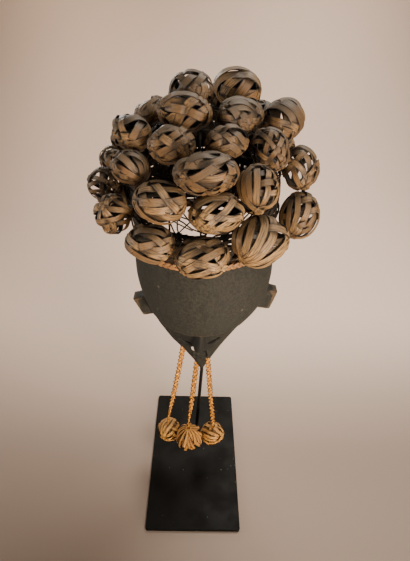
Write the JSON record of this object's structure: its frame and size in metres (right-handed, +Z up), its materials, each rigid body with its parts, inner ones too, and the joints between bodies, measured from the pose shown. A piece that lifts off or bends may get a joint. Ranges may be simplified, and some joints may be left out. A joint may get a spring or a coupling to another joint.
{
  "type": "salampasu mask on a stand",
  "caption": "Carved wooden face mask with a domed cap of openwork cane balls and a beard of plaited cords, held by a rod on a flat base plate.",
  "frame": {"origin": "middle of the base plate's underside, on the surface that the stand rests on", "axes": "+Z up through the rod towards the crown of the headdress, -Y towards the viewer that the mask faces, +X towards that viewer's right"},
  "size_m": [0.2873, 0.3209, 0.6698],
  "materials": {
    "plate_paint": "black satin paint with dust",
    "rod_paint": "black satin paint",
    "mask_wood": "carved wood, matt grey-brown patina",
    "cap_cane": "blackened cane",
    "band_cane": "plaited cane strip",
    "ball_cane": "split cane strips, dry, with dark edges",
    "beard_raffia": "plaited raffia"
  },
  "bodies": {
    "root": {"base_plate": "plate_paint", "stand_rod": "rod_paint", "mask": "mask_wood", "cap_band": "band_cane", "cap_frame": "cap_cane", "ball_01": "ball_cane", "ball_02": "ball_cane", "ball_03": "ball_cane", "ball_04": "ball_cane", "ball_05": "ball_cane", "ball_06": "ball_cane", "ball_07": "ball_cane", "ball_08": "ball_cane", "ball_09": "ball_cane", "ball_10": "ball_cane", "ball_11": "ball_cane", "ball_12": "ball_cane", "ball_13": "ball_cane", "ball_14": "ball_cane", "ball_15": "ball_cane", "ball_16": "ball_cane", "ball_17": "ball_cane", "ball_18": "ball_cane", "ball_19": "ball_cane", "ball_20": "ball_cane", "ball_21": "ball_cane", "ball_22": "ball_cane", "ball_23": "ball_cane", "ball_24": "ball_cane", "ball_25": "ball_cane", "ball_26": "ball_cane", "ball_27": "ball_cane", "ball_28": "ball_cane", "ball_29": "ball_cane", "ball_30": "ball_cane", "ball_31": "ball_cane", "ball_32": "ball_cane", "ball_33": "ball_cane", "ball_34": "ball_cane", "ball_35": "ball_cane", "ball_36": "ball_cane", "ball_37": "ball_cane", "ball_38": "ball_cane", "beard_cord_left": "beard_raffia", "beard_cord_middle": "beard_raffia", "beard_cord_right": "beard_raffia", "beard_ball_left": "beard_raffia", "beard_ball_middle": "beard_raffia", "beard_ball_right": "beard_raffia"}
  },
  "joints": []
}
